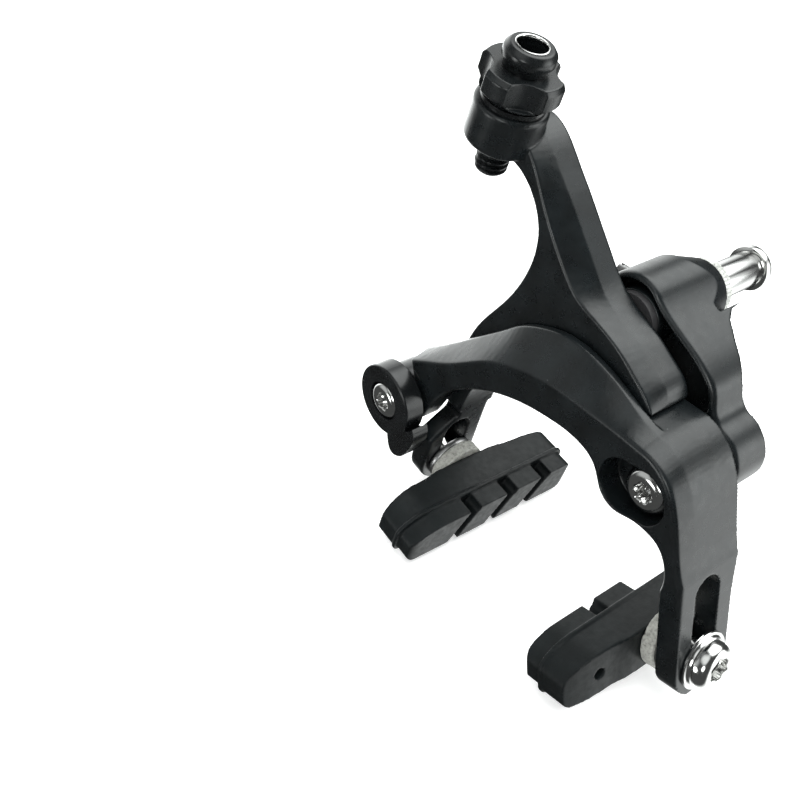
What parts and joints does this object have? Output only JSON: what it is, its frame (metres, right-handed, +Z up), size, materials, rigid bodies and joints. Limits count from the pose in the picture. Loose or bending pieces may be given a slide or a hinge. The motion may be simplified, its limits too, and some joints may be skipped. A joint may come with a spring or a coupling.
{
  "type": "rim brake caliper",
  "caption": "Dual-pivot bicycle rim brake caliper with brake pads, barrel adjuster, quick-release lever and recessed nut.",
  "frame": {"origin": "centre of the toothed washer's rear face, where the caliper seats on the frame, on the mounting bolt's axis", "axes": "+Y back into the frame along the mounting bolt, +Z up, +X to the viewer's right seen from the front"},
  "size_m": [0.1035, 0.0767, 0.1175],
  "materials": {
    "black_paint": "satin",
    "black_anodised": "gloss",
    "bright_steel": "polished",
    "grey_steel": "matte",
    "bushing": "satin",
    "washer_plastic": "matte",
    "spring_steel": "satin",
    "pad_rubber": "matte"
  },
  "bodies": {
    "bracket": {"bracket": "black_paint", "mounting_bolt": "bright_steel", "toothed_washer": "grey_steel", "recessed_nut": "bright_steel", "tension_screw": "bright_steel", "side_pivot_bolt": "bright_steel", "centre_washer": "washer_plastic", "side_washer": "washer_plastic", "return_spring": "spring_steel"},
    "adjuster_arm": {"adjuster_arm": "black_paint", "centre_bush": "bushing", "coupling_screw": "bright_steel", "adjuster_seat": "black_anodised", "spring_slider": "washer_plastic"},
    "arch_arm": {"arch_arm": "black_paint", "side_bush": "bushing", "cable_plate": "bright_steel"},
    "release_lever": {"release_lever": "black_anodised", "anchor_axle": "bright_steel", "anchor_screw": "bright_steel"},
    "left_clamp": {"left_cup_washer": "grey_steel", "left_dished_washer": "bright_steel"},
    "left_pad": {"left_pad": "pad_rubber", "left_pad_insert": "grey_steel", "left_ball_washer": "grey_steel", "left_pad_bolt": "bright_steel"},
    "right_clamp": {"right_cup_washer": "grey_steel", "right_dished_washer": "bright_steel"},
    "right_pad": {"right_pad": "pad_rubber", "right_pad_insert": "grey_steel", "right_ball_washer": "grey_steel", "right_pad_bolt": "bright_steel"},
    "adjuster_knob": {"adjuster_knob": "black_anodised"},
    "barrel_adjuster": {"barrel_adjuster": "black_anodised"}
  },
  "joints": [
    {"name": "adjuster_arm_hinge", "type": "hinge", "parent": "bracket", "child": "adjuster_arm", "pos_m": [0, -0.03, 0], "axis": [0, -1, 0], "range_deg": [0, 7.5], "stiffness_Nm_per_rad": 1.2, "springref_deg": -17.19, "deforming": ["return_spring"]},
    {"name": "arch_arm_hinge", "type": "hinge", "parent": "bracket", "child": "arch_arm", "pos_m": [0.024, -0.03, -0.019], "axis": [0, 1, 0], "range_deg": [0, 11.7]},
    {"name": "release_lever_hinge", "type": "hinge", "parent": "arch_arm", "child": "release_lever", "pos_m": [-0.0455, -0.045, -0.0415], "axis": [0, 1, 0], "range_deg": [0, 90]},
    {"name": "left_pad_slide", "type": "slide", "parent": "adjuster_arm", "child": "left_clamp", "axis": [0.1908, 0, 0.9816], "range_m": [0, 0.0015]},
    {"name": "left_pad_turn", "type": "hinge", "parent": "left_clamp", "child": "left_pad", "pos_m": [-0.038, -0.034, -0.058], "axis": [0.9816, 0, -0.1908], "range_deg": [-10, 10]},
    {"name": "right_pad_slide", "type": "slide", "parent": "arch_arm", "child": "right_clamp", "axis": [-0.2419, 0, 0.9703], "range_m": [0, 0.017]},
    {"name": "right_pad_turn", "type": "hinge", "parent": "right_clamp", "child": "right_pad", "pos_m": [0.0414, -0.034, -0.0536], "axis": [-0.9703, 0, -0.2419], "range_deg": [-10, 10]},
    {"name": "adjuster_knob_hinge", "type": "hinge", "parent": "adjuster_arm", "child": "adjuster_knob", "pos_m": [-0.02932, -0.0355, 0.03815], "axis": [0.247, 0, 0.969], "range_deg": [0, 1441]},
    {"name": "barrel_slide", "type": "slide", "parent": "adjuster_arm", "child": "barrel_adjuster", "axis": [0.247, 0, 0.969], "range_m": [0, 0.004]}
  ],
  "couplings": [
    {"joint": "arch_arm_hinge", "follows": "adjuster_arm_hinge", "ratio": 1.5532},
    {"joint": "adjuster_knob_hinge", "follows": "barrel_slide", "rad_per_m": 6283.2}
  ]
}
